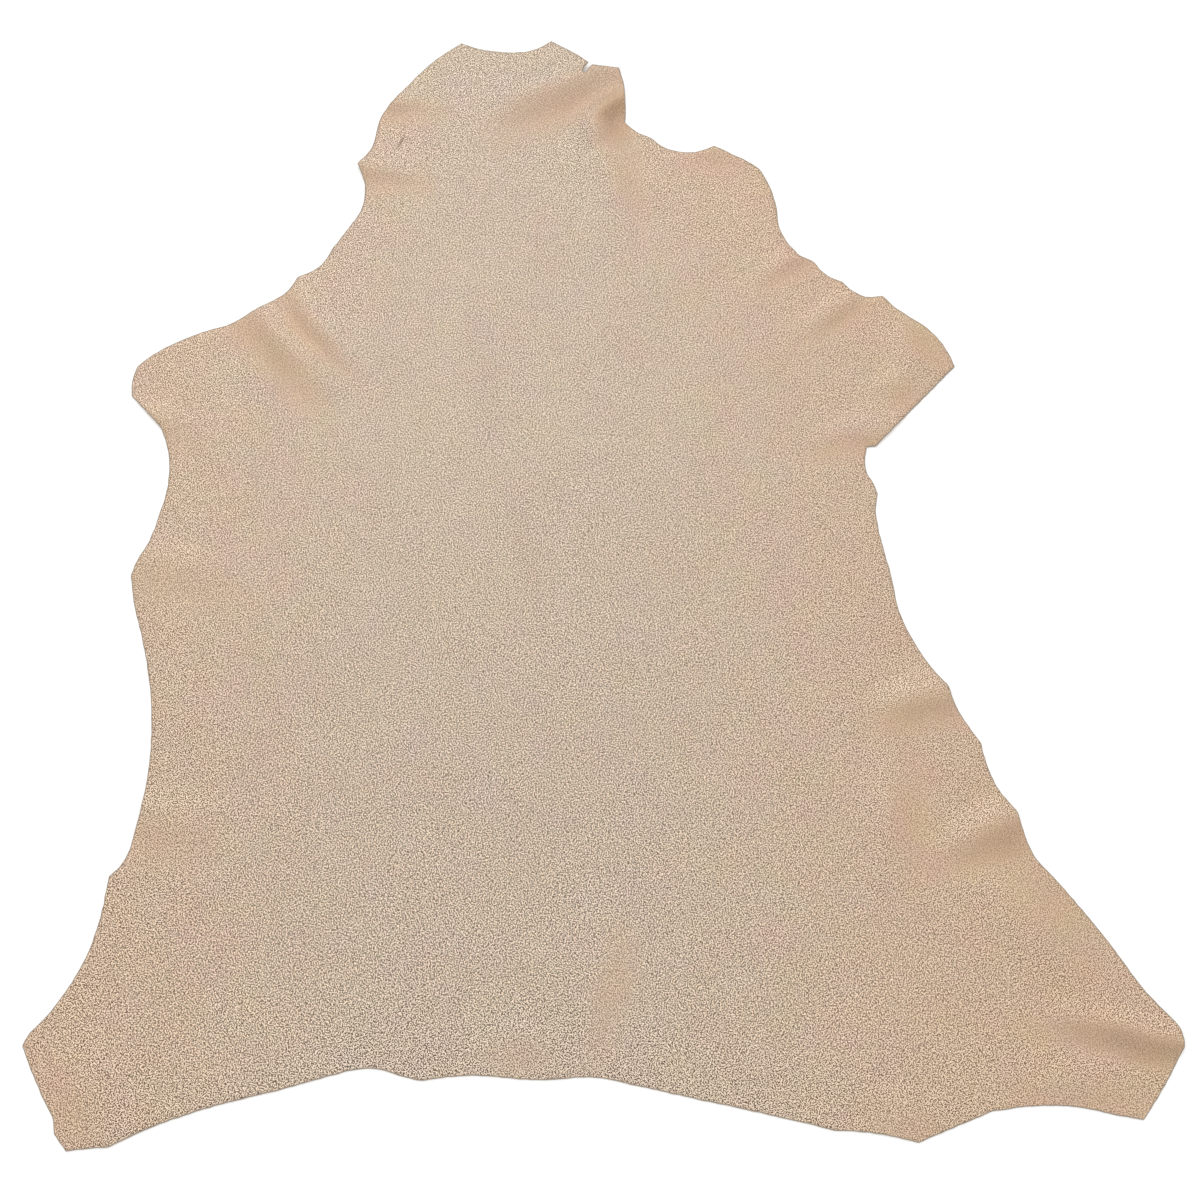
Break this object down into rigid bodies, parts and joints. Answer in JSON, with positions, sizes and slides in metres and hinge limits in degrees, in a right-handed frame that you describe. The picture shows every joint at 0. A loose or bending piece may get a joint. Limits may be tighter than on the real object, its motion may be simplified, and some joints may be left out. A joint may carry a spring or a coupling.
{
  "type": "leather hide",
  "caption": "Whole leather hide laid out flat, foil-finished pebbled grain side up, with natural cut legs, neck and soft edge folds.",
  "frame": {"origin": "on the ground, under the middle of the skin's bounding box", "axes": "+Y towards the neck end, +X to the right of the grain side seen with the neck up, +Z out of the grain side"},
  "size_m": [0.8745, 0.944, 0.006],
  "materials": {
    "grain_leather": "pebble embossed, champagne metallic foil on the grain side, plain suede flesh side"
  },
  "bodies": {
    "root": {"hide": "grain_leather"}
  },
  "joints": []
}
